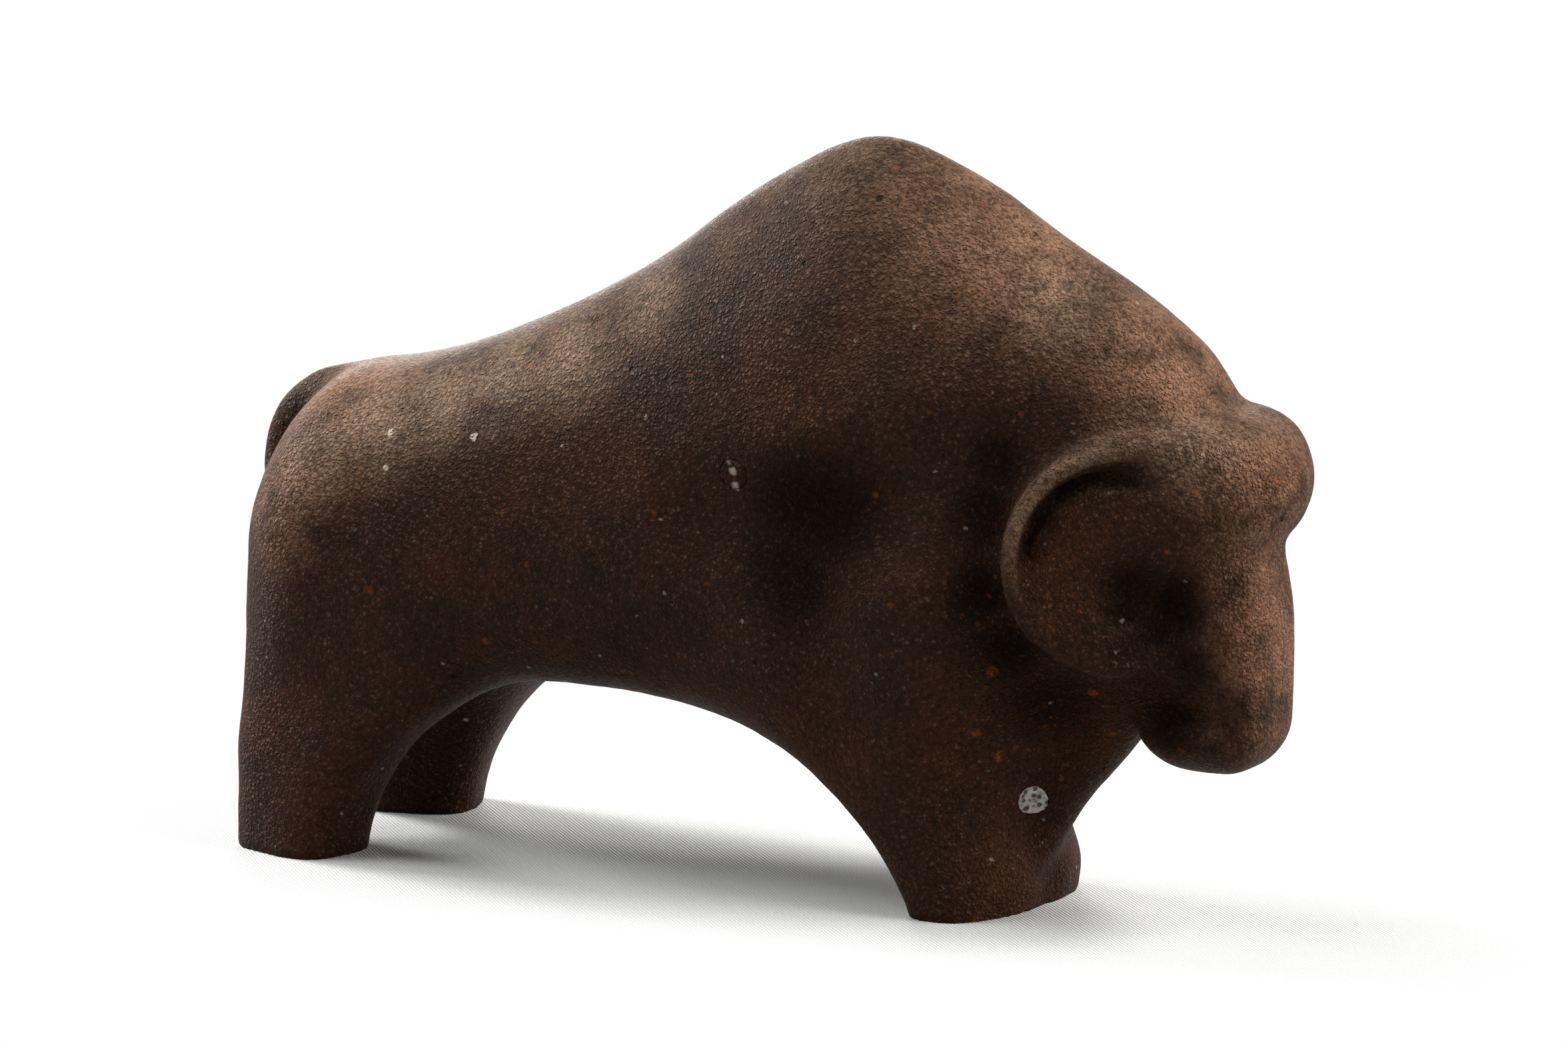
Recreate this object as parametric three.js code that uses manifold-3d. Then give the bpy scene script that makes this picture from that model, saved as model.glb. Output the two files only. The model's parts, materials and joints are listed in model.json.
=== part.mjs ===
// Cast buffalo figure: one hollow pour, and the plugs that close its core holes.
// Millimetres, +Z up, +X towards the head. Y = 0 is the animal's middle plane, Z = 0 its standing plane.
// The figure is a distance field, negative inside, built from swept bodies that flow into each other.
import * as THREE from 'three';
import Module from 'manifold-3d';
import { mergeVertices } from 'three/addons/utils/BufferGeometryUtils.js';

const wasm = await Module();
wasm.setup();

// Overall space that the figure fills, with a margin
const figureSpace = new THREE.Box3(new THREE.Vector3(-110, -37, -10), new THREE.Vector3(116, 37, 141));
const netStep = 1.5;
const figureFaces = 9300;
// The feet run on below the standing plane, and are sawn off flat there
const soleAllowance = -5;

// Hollow and wall
const wall = 5.5;
const coreSpace = new THREE.Box3(new THREE.Vector3(-88, -35, 21), new THREE.Vector3(66, 35, 141));
const coreStep = 4;
const coreFaces = 1400;
const coreRear = -74;
const coreFront = 52;

// Trunk, from rump to neck
const trunkRear = -94.5;
const trunkRearRound = 19;
const trunkFront = 96;
const trunkFrontRound = 14;
const trunkEndPower = 2.3;
// x, back, belly, half-width, height of the widest line, power above it, power below it
const trunkStations = [
  [-98, 85.0, 24, 27, 58, 2.3, 2.6],
  [-84, 87.2, 26, 29, 58, 2.2, 2.6],
  [-66, 90.2, 29, 29.5, 58, 2.1, 2.6],
  [-45, 97.2, 32, 29.5, 59, 2.0, 2.6],
  [-20, 109.6, 32.2, 29.5, 63, 1.8, 2.5],
  [5, 126.4, 28.8, 30, 70, 1.7, 2.4],
  [25, 134.6, 27.2, 31, 76, 1.65, 2.3],
  [42, 129.4, 26, 30, 79, 1.7, 2.2],
  [60, 118.4, 32, 27, 80, 1.8, 2.1],
  [76, 108.8, 42, 22, 80, 2.0, 2.0],
  [92, 96.0, 56, 18, 76, 2.1, 2.0],
  [100, 86.4, 64, 16, 74, 2.2, 2.0],
];

// Front legs: grown together into one block, wide across and pointed in front
const frontLegTop = 78;
const frontLegTopRound = 16;
// z, x and y of the widest line, reach ahead of it, reach behind it, half-width, power, turn in degrees
const frontLegStations = [
  [-8, 47.2, 0, 10.2, 6.8, 20.4, 2.6, -8],
  [0, 47.2, 0, 10.8, 7.2, 20.8, 2.6, -8],
  [6, 45.8, 0, 13.8, 10.0, 21.6, 2.5, -7],
  [12, 43.0, 0, 15.4, 12.8, 22.6, 2.3, -5],
  [18, 38.8, 0, 19.2, 15.2, 23.6, 2.2, -2],
  [26, 34.0, 0, 24.4, 18.8, 24.6, 2.1, 0],
  [34, 32.0, 0, 27.4, 27.2, 25.6, 2.1, 0],
  [42, 32.0, 0, 27.0, 33.6, 27.0, 2.1, 0],
  [62, 34.0, 0, 20.0, 14.0, 28.4, 2.0, 0],
  [80, 34.0, 0, 12.0, 8.0, 27.0, 2.0, 0],
];

// Hind legs: separate, each foot turned outwards
const hindLegTop = 74;
const hindLegTopRound = 18;
const hindLegStations = [
  [-8, -83.0, 20.8, 11.0, 11.0, 9.0, 3.4, 16],
  [0, -82.8, 20.6, 11.6, 11.6, 9.4, 3.2, 16],
  [10, -81.6, 20.0, 13.4, 13.4, 10.0, 3.0, 14],
  [20, -78.8, 19.0, 17.0, 17.0, 11.0, 2.8, 10],
  [30, -73.8, 17.2, 22.0, 22.0, 11.8, 2.5, 6],
  [42, -71.4, 14.6, 23.6, 23.6, 12.6, 2.4, 2],
  [78, -71.0, 11.0, 21.0, 21.0, 12.0, 2.2, 0],
];

// Brisket keel between the front legs, running up to the throat: x, y, z, radius
const keelPath = [
  [56.8, 0, 13.0, 4.6],
  [59.2, 0, 19.0, 5.4],
  [63.7, 0, 27.0, 6.6],
  [69.6, 0, 35.8, 7.8],
  [71.6, 0, 46.0, 11.0],
];

// Groove between the front feet: x, y, z, radius
const feetGroovePath = [
  [62.6, 0, -8, 3.6],
  [62.6, 0, 4, 3.4],
  [61.8, 0, 14, 2.6],
];

// Nose and muzzle
const noseTop = 82;
const noseTopRound = 10;
const noseBottom = 27.5;
const noseBottomRound = 9;
const noseStations = [
  [24, 90.6, 0, 11.0, 11.0, 9.6, 2.8, 0],
  [32, 90.2, 0, 12.2, 12.2, 11.0, 3.2, 0],
  [45, 89.7, 0, 13.1, 13.0, 11.6, 3.6, 0],
  [56, 89.3, 0, 13.1, 13.0, 12.2, 3.4, 0],
  [66, 88.2, 0, 12.4, 12.6, 13.4, 3.0, 0],
  [80, 85.0, 0, 11.0, 12.0, 13.0, 3.0, 0],
];

// Cheek disc inside the curl of the horn: its face turns a little towards the nose
const cheekCentre = new THREE.Vector3(82.2, 19.9, 66.0);
const cheekTurn = THREE.MathUtils.degToRad(22);
const cheekRadius = 20.4;
const cheekDepth = 22;
const cheekEdge = 2.4;
const cheekReach = 15;
const cheekForward = new THREE.Vector3(Math.cos(cheekTurn), -Math.sin(cheekTurn), 0);
const cheekOut = new THREE.Vector3(Math.sin(cheekTurn), Math.cos(cheekTurn), 0);

// Forehead roll, which sweeps back round the cheek as the horn's rim
const foreheadPath = [
  [94.2, 0, 78.6, 12.3],
  [93.6, 3.5, 78.8, 12.0],
];
// angle round the cheek from straight ahead, radius of the curl, height above the face, radius of the rim
const hornTurns = [
  [43, 22.6, -8.0, 9.4],
  [53, 21.4, -5.2, 7.4],
  [63, 20.4, -3.4, 5.7],
  [73, 19.6, -2.2, 4.4],
  [88, 19.3, -0.6, 3.0],
  [110, 19.2, 0.0, 2.4],
  [135, 19.0, -0.1, 1.9],
  [160, 19.2, -0.3, 1.6],
  [190, 19.3, -0.7, 1.3],
  [220, 19.4, -1.0, 1.2],
];
// the groove inside the rim, in the same terms
const rimGrooveTurns = [
  [76, 13.8, 4.4, 2.8],
  [92, 15.6, 2.0, 3.1],
  [108, 16.7, 0.8, 2.7],
  [125, 17.4, 0.3, 2.2],
  [140, 17.9, 0.1, 1.8],
  [158, 18.4, 0.2, 1.5],
  [180, 18.8, 0.6, 1.2],
  [205, 18.9, 1.2, 0.9],
];

// Hollow of the eye, under the brow and beside the nose:
// ahead of the cheek's centre, above it, out from its face, radius
const eyeHollowSpots = [
  [0.6, -6.0, 0.8, 5.2],
  [5.2, -7.4, 0.8, 6.8],
  [7.8, -12.2, 4.8, 7.8],
  [11.4, -18.0, 6.3, 7.6],
];
// the steeper cut right under the brow, in the same terms
const underBrowSpots = [
  [-1.0, -3.8, -1.0, 3.4],
  [3.0, -3.6, -2.4, 3.8],
  [8.0, -4.2, -2.2, 3.4],
];
// the hollow of the throat, under the jaw
const throatSpots = [
  [2.6, -24.4, -6.4, 6.0],
  [8.0, -25.2, -3.8, 6.0],
  [13.0, -26.2, -2.2, 4.8],
  [17.0, -27.6, -0.4, 3.0],
];
// the brow over the eye, which carries the forehead roll on to the horn
const browSpots = [
  [14.6, 11.0, -8.0, 10.0],
  [9.0, 10.0, -6.5, 9.4],
  [3.0, 9.0, -6.0, 7.8],
  [-4.0, 7.6, -5.5, 5.9],
];

// Shallow hollows of the body: down the flank before the belly, under the hump, and down the neck
const flankHollowPath = [
  [24.0, 38.4, 66.0, 9.0],
  [26.5, 37.4, 57.0, 8.5],
  [29.0, 36.6, 46.0, 7.5],
  [31.5, 35.0, 35.0, 6.0],
];
const humpHollowPath = [
  [6.0, 39.0, 71.0, 8.0],
  [20.0, 38.4, 68.5, 10.0],
  [32.0, 38.6, 70.0, 11.0],
  [42.0, 37.8, 75.0, 11.0],
  [50.0, 35.8, 79.5, 9.5],
  [58.0, 33.0, 82.5, 8.5],
  [66.0, 31.5, 85.0, 7.0],
];
const neckHollowPath = [
  [60.0, 33.5, 80.0, 7.5],
  [60.5, 32.6, 70.0, 8.5],
  [61.5, 31.6, 60.0, 8.5],
  [63.0, 29.6, 50.0, 8.0],
  [65.0, 27.0, 41.0, 6.5],
];

// Tail strap down the rump, with a slit on each side of it
const tailPath = [
  [-78.0, 0, 82.4, 4.6],
  [-88.0, 0, 81.2, 4.8],
  [-94.8, 0, 76.2, 4.8],
  [-97.8, 0, 67.5, 4.8],
  [-97.4, 0, 58.0, 4.2],
  [-95.2, 0, 49.0, 3.2],
];
const tailSlitPath = [
  [-89.5, 7.4, 82.0, 0.6],
  [-95.6, 7.2, 77.0, 1.8],
  [-97.6, 7.0, 69.0, 1.8],
  [-97.8, 7.0, 62.0, 1.0],
];

// Plugs: a flush head on a ledge and a thinner shank behind it
const fitGap = 0.3;
const pinPlug = { headRadius: 2.75, headDepth: 3, shankRadius: 1.7, shankDepth: 8 };
const chestPlug = { headRadius: 2.75, headDepth: 2, shankRadius: 1.6, shankDepth: 5 };
const bellyPlug = { headRadius: 12, headDepth: 2.8, shankRadius: 9.5, shankDepth: 4.6 };
const bellyHoleDepth = 9;
const plugReach = 12;
const pinSides = 24;
const bellySides = 48;
// A point outside the casting, and the way from it to the plug's place
const chestPlugSpot = { from: new THREE.Vector3(84.5, -60, 33.3), toward: new THREE.Vector3(-0.424, 0.88, -0.213) };
const flankPlugSpot = { from: new THREE.Vector3(28.3, -60, 83.4), toward: new THREE.Vector3(-0.47, 0.867, -0.163) };
const rumpPlugSpot = { from: new THREE.Vector3(-120, 0, 38), toward: new THREE.Vector3(1, 0, 0) };
const bellyPlugSpot = { from: new THREE.Vector3(-16, 0, 10), toward: new THREE.Vector3(0, 0, 1) };

const bronze = { color: 0x3b2a22, roughness: 0.72, metalness: 0.55 };
const plugGrey = { color: 0x8d8881, roughness: 0.8, metalness: 0.4 };

const smoothMin = (a, b, k) => Math.min(a, b) - (Math.max(k - Math.abs(a - b), 0) ** 2) / (4 * k);
const smoothMax = (a, b, k) => -smoothMin(-a, -b, k);

// Values between stations follow a smooth curve through them
function between(rows) {
  const size = rows[0].length - 1;
  const places = rows.map((row) => row[0]);
  const values = rows.flatMap((row) => row.slice(1));
  const curve = new THREE.CubicInterpolant(places, values, size, new Float64Array(size));
  return (place) => curve.evaluate(place);
}

// Radial value of a superellipse, 1 on its line, and how fast that value grows per millimetre
function ovalValue(u, v, halfU, halfV, power) {
  const s = Math.max(Math.abs(u) / halfU, 1e-6);
  const t = Math.max(Math.abs(v) / halfV, 1e-6);
  const value = (s ** power + t ** power) ** (1 / power);
  const growth = value ** (1 - power) * Math.hypot(s ** (power - 1) / halfU, t ** (power - 1) / halfV);
  return [value, growth];
}

// Rounds a sweep off past its end: over is the way into the end cap as a share of the cap's length
function capped([value, growth], over, capLength, power) {
  if (over <= 0) {
    return (value - 1) / growth;
  }
  const whole = (value ** power + over ** power) ** (1 / power);
  const share = whole ** (1 - power);
  const slope = Math.hypot(share * value ** (power - 1) * growth, (share * over ** (power - 1)) / capLength);
  return (whole - 1) / slope;
}

const trunkAt = between(trunkStations);

function trunk(x, y, z) {
  const [back, low, half, widest, powerUp, powerDown] = trunkAt(x);
  const up = z > widest;
  const oval = ovalValue(y, z - widest, half, up ? back - widest : widest - low, up ? powerUp : powerDown);
  const rear = trunkRear + trunkRearRound - x;
  const front = x - trunkFront + trunkFrontRound;
  const [over, length] = rear > 0 ? [rear, trunkRearRound] : [front, trunkFrontRound];
  return capped(oval, over / length, length, trunkEndPower);
}

// A sweep up the Z axis, turned about its own middle line
function column(at, x, y, z, top, topRound) {
  const [cx, cy, ahead, behind, halfY, power, degrees] = at(z);
  const turn = THREE.MathUtils.degToRad(degrees);
  const dx = x - cx;
  const dy = y - cy;
  const u = dx * Math.cos(turn) + dy * Math.sin(turn);
  const v = dy * Math.cos(turn) - dx * Math.sin(turn);
  const oval = ovalValue(u, v, u > 0 ? ahead : behind, halfY, power);
  return capped(oval, (z - top + topRound) / topRound, topRound, 2);
}

const frontLegAt = between(frontLegStations);
const hindLegAt = between(hindLegStations);
const noseAt = between(noseStations);

function frontLegs(x, y, z) {
  const block = column(frontLegAt, x, y, z, frontLegTop, frontLegTopRound);
  return smoothMax(block, -feetGroove(x, y, z), 4);
}

function nose(x, y, z) {
  const body = column(noseAt, x, y, z, noseTop, noseTopRound);
  const under = noseBottom + noseBottomRound - z;
  return under > 0 ? Math.hypot(Math.max(body + noseBottomRound, 0), under) - noseBottomRound : body;
}

function cheek(x, y, z) {
  const arm = new THREE.Vector3(x, Math.abs(y), z).sub(cheekCentre);
  const out = Math.hypot(arm.dot(cheekForward), arm.z) - cheekRadius + cheekEdge;
  const side = Math.abs(arm.dot(cheekOut) + cheekDepth / 2) - cheekDepth / 2 + cheekEdge;
  const disc = Math.min(Math.max(out, side), 0) + Math.hypot(Math.max(out, 0), Math.max(side, 0)) - cheekEdge;
  return smoothMax(disc, arm.dot(cheekForward) - cheekReach, 4);
}

// A path point given from the middle of the cheek's face
function onCheek([ahead, up, out, radius]) {
  const spot = cheekCentre.clone().addScaledVector(cheekForward, ahead).addScaledVector(cheekOut, out);
  return [spot.x, spot.y, spot.z + up, radius];
}

function roundCheek([degrees, curl, out, radius]) {
  const angle = THREE.MathUtils.degToRad(degrees);
  return onCheek([curl * Math.cos(angle), curl * Math.sin(angle), out, radius]);
}

// A round body along a smooth path, whose radius changes along it
function tube(path) {
  const middle = new THREE.CatmullRomCurve3(path.map(([x, y, z]) => new THREE.Vector3(x, y, z)));
  const radius = between(path.map((row, i) => [i, row[3]]));
  const count = (path.length - 1) * 4;
  const dots = Array.from({ length: count + 1 }, (unused, i) => {
    const dot = middle.getPoint(i / count);
    return [dot.x, dot.y, dot.z, radius((i / count) * (path.length - 1))[0]];
  });
  return (x, y, z) => {
    let nearest = Infinity;
    for (let i = 0; i < count; i++) {
      const [ax, ay, az, ar] = dots[i];
      const [bx, by, bz, br] = dots[i + 1];
      const [dx, dy, dz] = [bx - ax, by - ay, bz - az];
      const along = ((x - ax) * dx + (y - ay) * dy + (z - az) * dz) / (dx * dx + dy * dy + dz * dz);
      const t = Math.min(Math.max(along, 0), 1);
      const away = Math.hypot(x - ax - dx * t, y - ay - dy * t, z - az - dz * t);
      nearest = Math.min(nearest, away - ar - (br - ar) * t);
    }
    return nearest;
  };
}

const keel = tube(keelPath);
const feetGroove = tube(feetGroovePath);
const horn = tube([...foreheadPath, ...hornTurns.map(roundCheek)]);
const rimGroove = tube(rimGrooveTurns.map(roundCheek));
const eyeHollow = tube(eyeHollowSpots.map(onCheek));
const underBrow = tube(underBrowSpots.map(onCheek));
const throat = tube(throatSpots.map(onCheek));
const brow = tube(browSpots.map(onCheek));
const flankHollow = tube(flankHollowPath);
const humpHollow = tube(humpHollowPath);
const neckHollow = tube(neckHollowPath);
const tail = tube(tailPath);
const tailSlit = tube(tailSlitPath);

function body(x, y, z) {
  const side = Math.abs(y);
  let d = trunk(x, y, z);
  if (x < -25) {
    return smoothMin(d, column(hindLegAt, x, side, z, hindLegTop, hindLegTopRound), 12);
  }
  d = smoothMin(d, frontLegs(x, y, z), 16);
  d = smoothMin(d, keel(x, y, z), 4);
  d = smoothMax(d, -smoothMin(humpHollow(x, side, z), flankHollow(x, side, z), 8), 9);
  return smoothMax(d, -neckHollow(x, side, z), 6);
}

function head(x, y, z) {
  const side = Math.abs(y);
  let d = smoothMin(nose(x, y, z), cheek(x, y, z), 4);
  d = smoothMin(d, horn(x, side, z), 3);
  d = smoothMin(d, brow(x, side, z), 4);
  d = smoothMax(d, -Math.min(eyeHollow(x, side, z), underBrow(x, side, z)), 3.5);
  d = smoothMax(d, -throat(x, side, z), 3);
  return smoothMax(d, -rimGroove(x, side, z), 1.2);
}

function figure(x, y, z) {
  let d = body(x, y, z);
  if (x > 45) {
    d = smoothMin(d, head(x, y, z), 3);
  }
  if (x < -60) {
    d = smoothMin(d, tail(x, y, z), 3);
    d = smoothMax(d, -tailSlit(x, Math.abs(y), z), 1.5);
  }
  return Math.max(d, soleAllowance - z);
}

// The hollow left by the core: a wall's thickness inside the trunk, with rounded ends
function core(x, y, z) {
  const ends = Math.max(coreRear - x, x - coreFront);
  return smoothMax(smoothMax(trunk(x, y, z), body(x, y, z), 2) + wall, ends, 14);
}

function slopeOf(field, { x, y, z }) {
  const reach = 0.05;
  return new THREE.Vector3(
    field(x + reach, y, z) - field(x - reach, y, z),
    field(x, y + reach, z) - field(x, y - reach, z),
    field(x, y, z + reach) - field(x, y, z - reach),
  ).divideScalar(2 * reach);
}

// Slides a point along the field's slope until it lies on the surface
function settle(point, field) {
  for (let pass = 0; pass < 4; pass++) {
    const slope = slopeOf(field, point);
    point.addScaledVector(slope, -field(point.x, point.y, point.z) / Math.max(slope.lengthSq(), 0.05));
  }
}

// Where only the diagonal corners of a grid square lie inside, the net would pinch: one more corner is taken in
function joinDiagonals(values, stride) {
  const pairs = [[stride[0], stride[1]], [stride[1], stride[2]], [stride[2], stride[0]]];
  let changed = true;
  while (changed) {
    changed = false;
    for (let cell = 0; cell < values.length - stride[2] - stride[1]; cell++) {
      for (const [u, v] of pairs) {
        const near = values[cell] < 0;
        const beside = values[cell + u] < 0;
        if (near !== beside && near === values[cell + u + v] < 0 && beside === values[cell + v] < 0) {
          values[near ? cell + u : cell] = -1e-3;
          changed = true;
        }
      }
    }
  }
}

// Wraps a field's zero surface in a net: one point for each cell that it crosses, one square for each edge
function wrap(field, space, step) {
  const size = space.getSize(new THREE.Vector3());
  const count = [size.x, size.y, size.z].map((length) => Math.ceil(length / step) + 1);
  const stride = [1, count[0], count[0] * count[1]];
  const total = stride[2] * count[2];
  const place = (i, j, k) => [space.min.x + i * step, space.min.y + j * step, space.min.z + k * step];
  const values = new Float32Array(total);
  for (let k = 0; k < count[2]; k++) {
    for (let j = 0; j < count[1]; j++) {
      for (let i = 0; i < count[0]; i++) {
        values[i + j * stride[1] + k * stride[2]] = field(...place(i, j, k));
      }
    }
  }
  joinDiagonals(values, stride);
  const corners = [0, 1, 2, 3, 4, 5, 6, 7].map((c) => [c & 1, (c >> 1) & 1, c >> 2]);
  const sides = corners.flatMap((a, m) => corners.slice(m + 1).map((b) => [a, b]))
    .filter(([a, b]) => Math.abs(a[0] - b[0]) + Math.abs(a[1] - b[1]) + Math.abs(a[2] - b[2]) === 1);
  const at = (i, j, k, [a, b, c]) => values[i + a + (j + b) * stride[1] + (k + c) * stride[2]];
  const points = [];
  const cellPoint = new Int32Array(total).fill(-1);
  for (let k = 0; k < count[2] - 1; k++) {
    for (let j = 0; j < count[1] - 1; j++) {
      for (let i = 0; i < count[0] - 1; i++) {
        const middle = new THREE.Vector3();
        let crossings = 0;
        for (const [a, b] of sides) {
          const va = at(i, j, k, a);
          const vb = at(i, j, k, b);
          if (va < 0 !== vb < 0) {
            const t = va / (va - vb);
            middle.x += a[0] + (b[0] - a[0]) * t;
            middle.y += a[1] + (b[1] - a[1]) * t;
            middle.z += a[2] + (b[2] - a[2]) * t;
            crossings += 1;
          }
        }
        if (crossings > 0) {
          const [x, y, z] = place(i, j, k);
          middle.multiplyScalar(step / crossings).add(new THREE.Vector3(x, y, z));
          cellPoint[i + j * stride[1] + k * stride[2]] = points.length;
          points.push(middle);
        }
      }
    }
  }
  points.forEach((point) => settle(point, field));
  const faces = [];
  for (let cell = stride[2] + stride[1] + 1; cell < total; cell++) {
    for (let axis = 0; axis < 3; axis++) {
      const ahead = cell + stride[axis];
      if (ahead >= total || values[cell] < 0 === values[ahead] < 0) {
        continue;
      }
      const u = stride[(axis + 1) % 3];
      const v = stride[(axis + 2) % 3];
      const square = [cell - u - v, cell - v, cell, cell - u].map((c) => cellPoint[c]);
      const [a, b, c, d] = values[cell] < 0 ? square : square.reverse();
      const flat = points[a].distanceTo(points[c]) < points[b].distanceTo(points[d]);
      faces.push(...(flat ? [[a, b, c], [a, c, d]] : [[a, b, d], [b, c, d]]));
    }
  }
  return { points, faces };
}

// Error of a point against the planes of the faces that a corner stood for, kept as a symmetric matrix
class PlaneError {
  constructor() {
    this.q = new Float64Array(10);
  }

  addPlane(normal, offset, weight) {
    const { x, y, z } = normal;
    const terms = [x * x, x * y, x * z, x * offset, y * y, y * z, y * offset, z * z, z * offset, offset * offset];
    terms.forEach((term, i) => {
      this.q[i] += term * weight;
    });
  }

  plus(other) {
    const sum = new PlaneError();
    sum.q = this.q.map((term, i) => term + other.q[i]);
    return sum;
  }

  of({ x, y, z }) {
    const [xx, xy, xz, xo, yy, yz, yo, zz, zo, oo] = this.q;
    const squares = xx * x * x + yy * y * y + zz * z * z + 2 * (xy * x * y + xz * x * z + yz * y * z);
    return squares + 2 * (xo * x + yo * y + zo * z) + oo;
  }

  best(fallback) {
    const [xx, xy, xz, xo, yy, yz, yo, zz, zo] = this.q;
    const matrix = new THREE.Matrix3(xx, xy, xz, xy, yy, yz, xz, yz, zz);
    if (Math.abs(matrix.determinant()) < 1e-4) {
      return fallback;
    }
    return new THREE.Vector3(-xo, -yo, -zo).applyMatrix3(matrix.invert());
  }
}

function faceNormal(points, [a, b, c]) {
  const u = points[b].clone().sub(points[a]);
  return u.cross(points[c].clone().sub(points[a]));
}

// Thins a closed net by drawing its cheapest edges together, then settles it on the surface again
function thin({ points, faces }, field, wanted) {
  const around = points.map(() => new Set());
  const errors = points.map(() => new PlaneError());
  faces.forEach((face, f) => {
    const normal = faceNormal(points, face);
    const area = normal.length() / 2;
    normal.normalize();
    face.forEach((p) => {
      around[p].add(f);
      errors[p].addPlane(normal, -normal.dot(points[p]), area);
    });
  });
  const neighbours = (p) => new Set([...around[p]].flatMap((f) => faces[f]).filter((other) => other !== p));
  const version = new Int32Array(points.length);
  const queue = [];
  const sink = (item) => {
    let i = queue.push(item) - 1;
    while (i > 0 && queue[(i - 1) >> 1].cost > item.cost) {
      queue[i] = queue[(i - 1) >> 1];
      i = (i - 1) >> 1;
    }
    queue[i] = item;
  };
  const lift = () => {
    const top = queue[0];
    const last = queue.pop();
    if (queue.length > 0) {
      let i = 0;
      for (let child = 1; child < queue.length; child = 2 * i + 1) {
        if (child + 1 < queue.length && queue[child + 1].cost < queue[child].cost) {
          child += 1;
        }
        if (queue[child].cost >= last.cost) {
          break;
        }
        queue[i] = queue[child];
        i = child;
      }
      queue[i] = last;
    }
    return top;
  };
  const offer = (a, b) => {
    const error = errors[a].plus(errors[b]);
    const middle = points[a].clone().lerp(points[b], 0.5);
    const length = points[a].distanceTo(points[b]);
    let spot = error.best(middle);
    if (spot.distanceTo(middle) > length) {
      spot = middle;
    }
    const cost = error.of(spot) + 1e-4 * length ** 4;
    sink({ cost, a, b, spot, seen: version[a] + version[b] });
  };
  const keepsShape = (p, other, spot) => [...around[p]].every((f) => {
    if (faces[f].includes(other)) {
      return true;
    }
    const before = faceNormal(points, faces[f]);
    const moved = faces[f].map((q) => (q === p ? spot : points[q]));
    const after = moved[1].clone().sub(moved[0]).cross(moved[2].clone().sub(moved[0]));
    return before.dot(after) > 0.4 * before.length() * after.length();
  });
  points.forEach((point, p) => neighbours(p).forEach((other) => other > p && offer(p, other)));
  let left = faces.length;
  while (left > wanted && queue.length > 0) {
    const { a, b, spot, seen } = lift();
    if (seen !== version[a] + version[b] || around[a].size === 0 || around[b].size === 0) {
      continue;
    }
    const shared = [...neighbours(a)].filter((other) => neighbours(b).has(other));
    if (shared.length !== 2 || !keepsShape(a, b, spot) || !keepsShape(b, a, spot)) {
      continue;
    }
    for (const f of around[b]) {
      if (faces[f].includes(a)) {
        faces[f].forEach((p) => p !== b && around[p].delete(f));
        faces[f] = null;
        left -= 1;
      } else {
        faces[f] = faces[f].map((p) => (p === b ? a : p));
        around[a].add(f);
      }
    }
    around[b].clear();
    points[a] = spot;
    errors[a] = errors[a].plus(errors[b]);
    const beside = neighbours(a);
    version[a] += 1;
    version[b] += 1;
    beside.forEach((other) => offer(a, other));
  }
  points.filter((point, p) => around[p].size > 0).forEach((point) => settle(point, field));
  return { points, faces: faces.filter((face) => face !== null) };
}

function closedSolid(vertProperties, triVerts) {
  return new wasm.Manifold(new wasm.Mesh({ numProp: 3, vertProperties, triVerts }));
}

function netSolid({ points, faces }) {
  return closedSolid(Float32Array.from(points.flatMap((p) => p.toArray())), Uint32Array.from(faces.flat()));
}

function solid(geometry) {
  geometry.deleteAttribute('normal');
  geometry.deleteAttribute('uv');
  const merged = mergeVertices(geometry, 1e-4);
  return closedSolid(Float32Array.from(merged.attributes.position.array), Uint32Array.from(merged.index.array));
}

function geometryOf(shape) {
  const mesh = shape.getMesh();
  const geometry = new THREE.BufferGeometry();
  geometry.setAttribute('position', new THREE.BufferAttribute(mesh.vertProperties, 3));
  geometry.setIndex(new THREE.BufferAttribute(mesh.triVerts, 1));
  return geometry;
}

// Where a line from outside meets the casting, and the way straight in from there
function seat({ from, toward }) {
  const place = from.clone();
  const step = toward.clone().normalize();
  for (let pass = 0; pass < 80; pass++) {
    place.addScaledVector(step, figure(place.x, place.y, place.z));
  }
  return { place, inward: slopeOf(figure, place).negate().normalize() };
}

function mirrored({ from, toward }) {
  const flip = new THREE.Vector3(1, -1, 1);
  return { from: from.clone().multiply(flip), toward: toward.clone().multiply(flip) };
}

// A stepped pin with its head outwards; grow widens it into its hole
function pinSolid({ place, inward }, plug, sides, grow) {
  const { headRadius, headDepth, shankRadius, shankDepth } = plug;
  const profile = [
    [0, -plugReach],
    [headRadius + grow, -plugReach],
    [headRadius + grow, headDepth + grow],
    [shankRadius + grow, headDepth + grow],
    [shankRadius + grow, shankDepth + grow],
    [0, shankDepth + grow],
  ].map(([radius, depth]) => new THREE.Vector2(radius, depth));
  const geometry = new THREE.LatheGeometry(profile, sides);
  geometry.applyQuaternion(new THREE.Quaternion().setFromUnitVectors(new THREE.Vector3(0, 1, 0), inward));
  geometry.translate(place.x, place.y, place.z);
  return solid(geometry);
}

// Everything below the standing plane
function groundSolid() {
  const size = figureSpace.getSize(new THREE.Vector3());
  return solid(new THREE.BoxGeometry(size.x * 2, size.y * 2, 40).translate(0, 0, -20));
}

function named(name, geometry, look) {
  const mesh = new THREE.Mesh(geometry, new THREE.MeshStandardMaterial(look));
  mesh.name = name;
  return mesh;
}

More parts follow.
